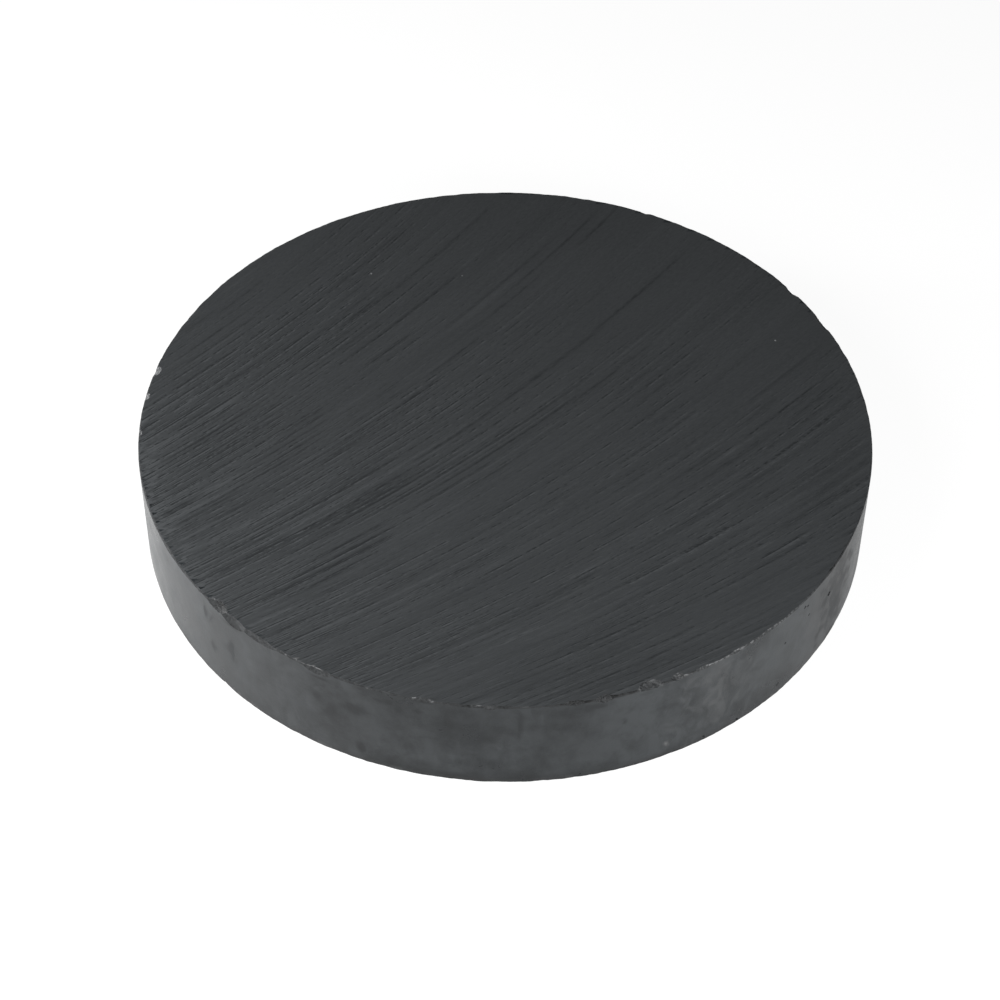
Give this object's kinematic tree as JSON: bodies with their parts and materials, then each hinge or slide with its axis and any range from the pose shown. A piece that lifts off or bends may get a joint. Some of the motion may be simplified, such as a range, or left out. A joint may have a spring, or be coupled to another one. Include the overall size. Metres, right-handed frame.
{
  "type": "disc magnet",
  "caption": "Flat round hard ferrite disc magnet with ground pole faces, a smooth fired wall and small chips along its rims, for holding steel.",
  "frame": {"origin": "centre of the lower ground face, on the disc's axis", "axes": "+Z along the disc's axis, up through its thickness; -Y is the side that the picture was taken from"},
  "size_m": [0.1, 0.1, 0.015],
  "materials": {
    "ferrite": "satin"
  },
  "bodies": {
    "root": {"magnet": "ferrite"}
  },
  "joints": []
}
